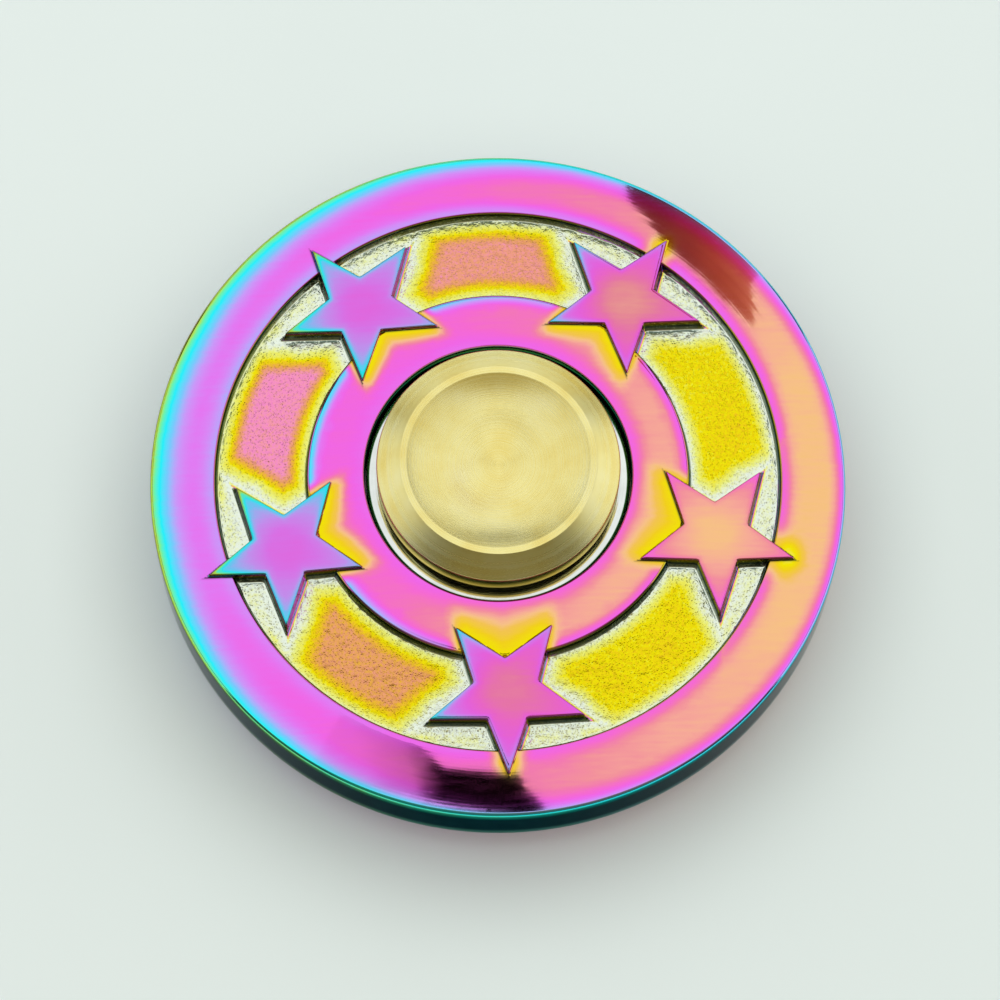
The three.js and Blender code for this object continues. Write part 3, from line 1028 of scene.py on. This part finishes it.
stand_for(disc(), "disc_body", "rainbow_plating")
stand_for(socketed_cap(), "finger_cap_top", "turned_brass")
stand_for(studded_cap(), "finger_cap_bottom", "turned_brass")
stand_for(outer_ring(), "bearing_outer_race", "bearing_steel")
stand_for(inner_ring(), "bearing_inner_race", "bearing_steel")
for face, side in (("top", 1), ("bottom", -1)):
    stand_for(shield("shield_" + face, side), "bearing_shield_" + face, "pressed_steel")
    stand_for(snap_ring("retaining_ring_" + face, side), "snap_ring_" + face, "spring_steel")
for half, side in (("upper", 1), ("lower", -1)):
    stand_for(cage_half("cage_half_" + half, side), "ball_cage_" + half, "pressed_steel")
rivet, rivet_faces = rivet_points()
ball, ball_faces = ball_points(BALL_R)
for i, points in enumerate(at_rivets(np.array(rivet, float))):
    made = mesh_object(f"rivet_{i + 1}", points, rivet_faces)
    stand_for(made, f"cage_rivet_{i + 1}", "pressed_steel")
for i in range(BALLS):
    a = 2 * math.pi * i / BALLS
    centre = np.array([PITCH_R * math.cos(a), PITCH_R * math.sin(a), 0])
    made = mesh_object(f"ball_{i + 1}", ball + centre, ball_faces)
    stand_for(made, f"bearing_ball_{i + 1}", "bearing_steel")

# ---- camera ----

CAMERA_ELEVATION = math.radians(71.54)
CAMERA_DISTANCE = 400.8
CAMERA_ROLL = math.radians(-1.72)
CAMERA_TURN = math.radians(-3.63)
CAMERA_LENS = 171.85

away = Vector((0, math.cos(CAMERA_ELEVATION), -math.sin(CAMERA_ELEVATION)))
level_up = Vector((0, math.sin(CAMERA_ELEVATION), math.cos(CAMERA_ELEVATION)))
level_right = Vector((1, 0, 0))
right = level_right * math.cos(CAMERA_ROLL) - level_up * math.sin(CAMERA_ROLL)
up = level_right * math.sin(CAMERA_ROLL) + level_up * math.cos(CAMERA_ROLL)
turn = Matrix.Rotation(CAMERA_TURN, 3, "Z")
axes = Matrix([turn @ right, turn @ up, turn @ -away]).transposed()
camera_place = turn @ -away * CAMERA_DISTANCE

camera_data = bpy.data.cameras.new("camera")
camera_data.sensor_width = 36
camera_data.lens = CAMERA_LENS
camera_data.shift_x = 0.0023
camera_data.shift_y = -0.0101
camera_data.clip_start = 0.01
camera = bpy.data.objects.new("camera", camera_data)
camera.matrix_world = Matrix.Translation(camera_place * MM) @ axes.to_4x4()
bpy.context.scene.collection.objects.link(camera)
bpy.context.scene.camera = camera

# ---- floor and lights ----

bpy.context.scene.view_settings.view_transform = "Standard"


FLOOR_REACH = 4000


def floor():
    corners = [(x * FLOOR_REACH, y * FLOOR_REACH, -CAP_TOP) for x, y in ((-1, -1), (1, -1), (1, 1), (-1, 1))]
    made = mesh_object("floor", corners, [(0, 1, 2, 3)])
    finish = Finish("pale_floor", Roughness=0.75)
    finish.shader.inputs["Specular IOR Level"].default_value = 0.2
    cloud = finish.noise(6, 4)
    stops = [(0.35, (228, 237, 235)), (0.65, (232, 241, 239))]
    finish.feed(finish.shader.inputs["Base Color"], finish.ramp(cloud, stops))
    made.data.materials.append(finish.material)


DAYLIGHT = (0.985, 1.0, 0.995)
WARM = (1.0, 0.8, 0.3)


def softbox(name, place, target, width, depth, radiance, colour=DAYLIGHT, seen=True):
    """A soft rectangular light at place, in millimetres, that faces target. One that isn't seen lights
    dull surfaces only."""
    data = bpy.data.lights.new(name, "AREA")
    data.shape = "RECTANGLE"
    data.size = width * MM
    data.size_y = depth * MM
    data.energy = radiance * math.pi * data.size * data.size_y
    data.color = colour
    made = bpy.data.objects.new(name, data)
    aim = (Vector(target) - Vector(place)).to_track_quat("-Z", "Y").to_matrix().to_4x4()
    made.matrix_world = Matrix.Translation(Vector(place) * MM) @ aim
    made.visible_camera = False
    made.visible_glossy = seen
    bpy.context.scene.collection.objects.link(made)


def mirror_spot(azimuth, r, height):
    """Where the light comes from that the camera sees in one place on the disc's face."""
    a = azimuth * DEGREE
    point = Vector((r * math.cos(a), r * math.sin(a), face_height(r)))
    slope = (face_height(r - 0.01) - face_height(r + 0.01)) / 0.02
    normal = Vector((slope * math.cos(a), slope * math.sin(a), 1)).normalized()
    ray = (point - camera_place).normalized().reflect(normal)
    return point + ray * ((height - point.z) / ray.z)


def flag(name, outline, height, stops):
    """A dark card in front of the overhead softbox, shaped by what it darkens on the disc's rim. The stops
    give its colour from its left end to its right end."""
    corners = [mirror_spot(azimuth, r, height) for azimuth, r in outline]
    made = mesh_object(name, [tuple(c) for c in corners], [list(range(len(corners)))])
    left, right = min(c.x for c in corners) * MM, max(c.x for c in corners) * MM
    finish = Finish(name, Roughness=1.0, Specular_IOR_Level=0.0, Base_Color=(0, 0, 0, 1))
    across = finish.add("ShaderNodeSeparateXYZ", {"Vector": finish.place}).outputs["X"]
    span = {"Value": across, "From Min": left, "From Max": right}
    share = finish.add("ShaderNodeMapRange", span).outputs["Result"]
    share = finish.math("MULTIPLY_ADD", finish.noise(60, 3), 0.1, share)
    finish.feed(finish.shader.inputs["Emission Color"], finish.ramp(share, stops))
    finish.shader.inputs["Emission Strength"].default_value = 1.0
    made.data.materials.append(finish.material)
    made.visible_camera = False
    made.visible_diffuse = False
    made.visible_shadow = False


OVERHEAD = 520
floor()
softbox("overhead", (0, 265, OVERHEAD), (0, 265, 0), 940, 750, 0.92)
softbox("overhead_front", (0, -215, OVERHEAD), (0, -215, 0), 940, 210, 0.34, WARM)
softbox("front", (0, -600, 350), (0, 0, 0), 900, 450, 0.15, WARM)
softbox("back", (0, 900, 300), (0, 0, 300), 1500, 600, 0.76)
softbox("left", (-700, 150, 290), (0, 150, 290), 900, 580, 0.85)
softbox("right", (700, 150, 290), (0, 150, 290), 900, 580, 0.95)
softbox("fill", (0, 0, 900), (0, 0, 0), 1600, 1600, 0.68, seen=False)

# What each flag darkens on the disc's rim, as (azimuth in degrees, radius) corners, and its colours from left
# to right.
FRONT_SPOT = [
    (-124, 29.6),
    (-124, 24),
    (-108, 24.2),
    (-102, 25.4),
    (-92, 25.3),
    (-88, 25.5),
    (-86, 27.3),
    (-83, 29.6),
]
RIGHT_SPOT = [
    (64, 29.6),
    (66, 28.6),
    (64, 27.4),
    (58, 26),
    (53, 25.1),
    (44, 24.8),
    (36, 24.9),
    (30, 25.3),
    (32, 26.2),
    (37, 27.6),
    (38, 29.6),
]
FRONT_GREYS = [(0, 252), (0.3, 240), (0.5, 205), (0.56, 120), (0.6, 4), (1, 0)]
RIGHT_SHADES = [
    (0, (112, 62, 62)),
    (0.3, (128, 72, 66)),
    (0.62, (168, 98, 84)),
    (0.85, (200, 140, 124)),
    (1, (235, 200, 190)),
]
FLAG_HEIGHT = OVERHEAD - 20
flag("flag_front", FRONT_SPOT, FLAG_HEIGHT, [(at, (grey, grey, grey)) for at, grey in FRONT_GREYS])
flag("flag_right", RIGHT_SPOT, FLAG_HEIGHT, RIGHT_SHADES)

world = bpy.data.worlds.new("studio")
world.use_nodes = True
world.node_tree.nodes["Background"].inputs["Color"].default_value = linear(235, 242, 241)
world.node_tree.nodes["Background"].inputs["Strength"].default_value = 0.1
bpy.context.scene.world = world
